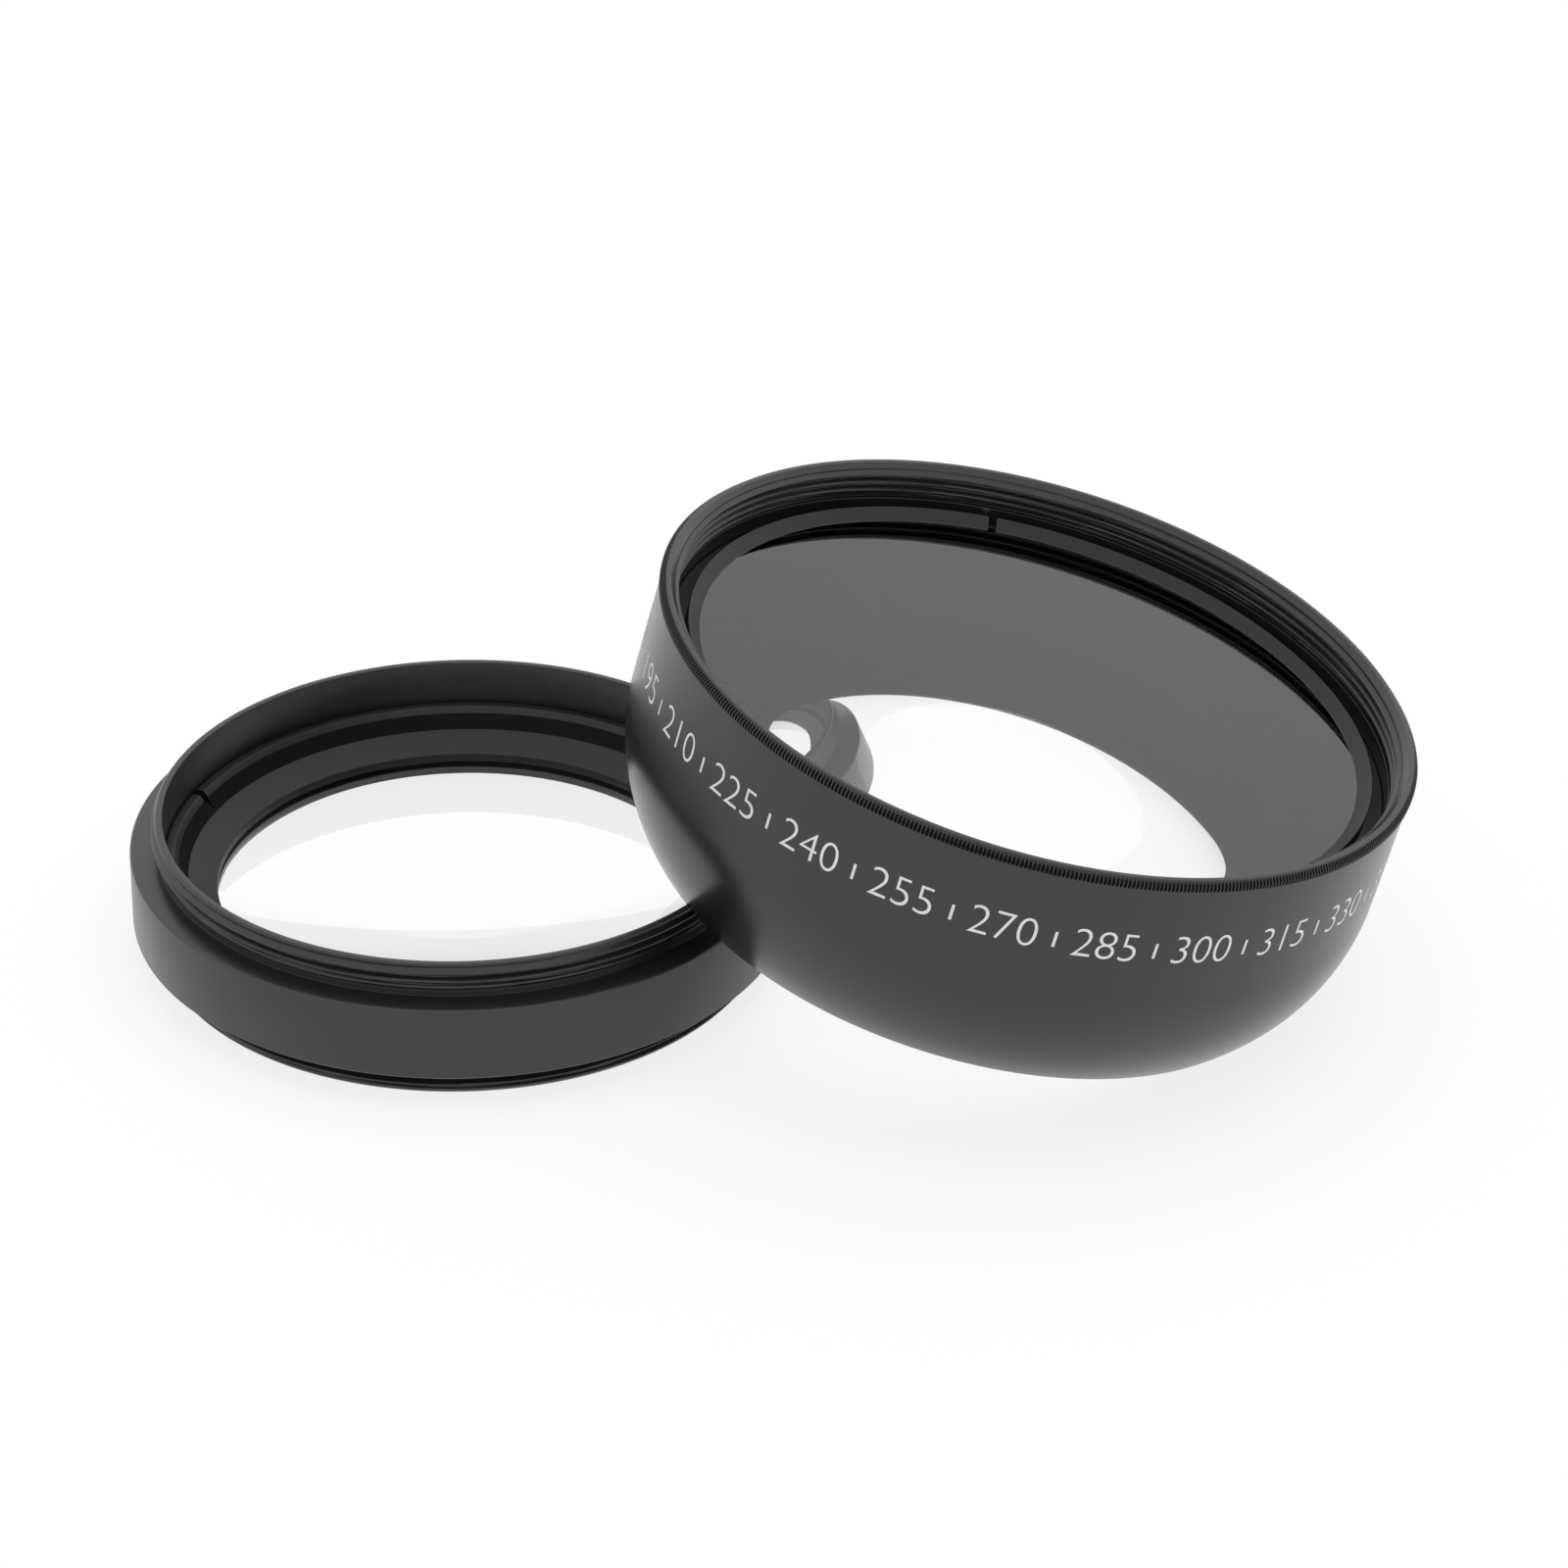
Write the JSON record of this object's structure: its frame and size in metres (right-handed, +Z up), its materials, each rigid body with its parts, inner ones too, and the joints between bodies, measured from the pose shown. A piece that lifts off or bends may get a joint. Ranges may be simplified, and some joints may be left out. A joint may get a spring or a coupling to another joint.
{
  "type": "wide-angle conversion lens",
  "caption": "Screw-on wide-angle conversion lens, unscrewed: the bowl-shaped front section leans on its upright rear section, each a black turned barrel with a glass held by a slotted ring.",
  "frame": {"origin": "centre of the rear section's lower face, on the rear section's axis", "axes": "+Z up along the rear section's axis, +X towards the front section that leans on it"},
  "size_m": [0.1074, 0.0644, 0.0362],
  "materials": {
    "black_anodised": "satin black anodised",
    "ring_anodised": "matte dark grey anodised",
    "lens_glass": "polished, coated"
  },
  "bodies": {
    "root": {"rear_barrel": "black_anodised", "rear_lens": "lens_glass", "rear_retaining_ring": "ring_anodised", "front_barrel": "black_anodised", "front_lens": "lens_glass", "front_retaining_ring": "ring_anodised"}
  },
  "joints": []
}
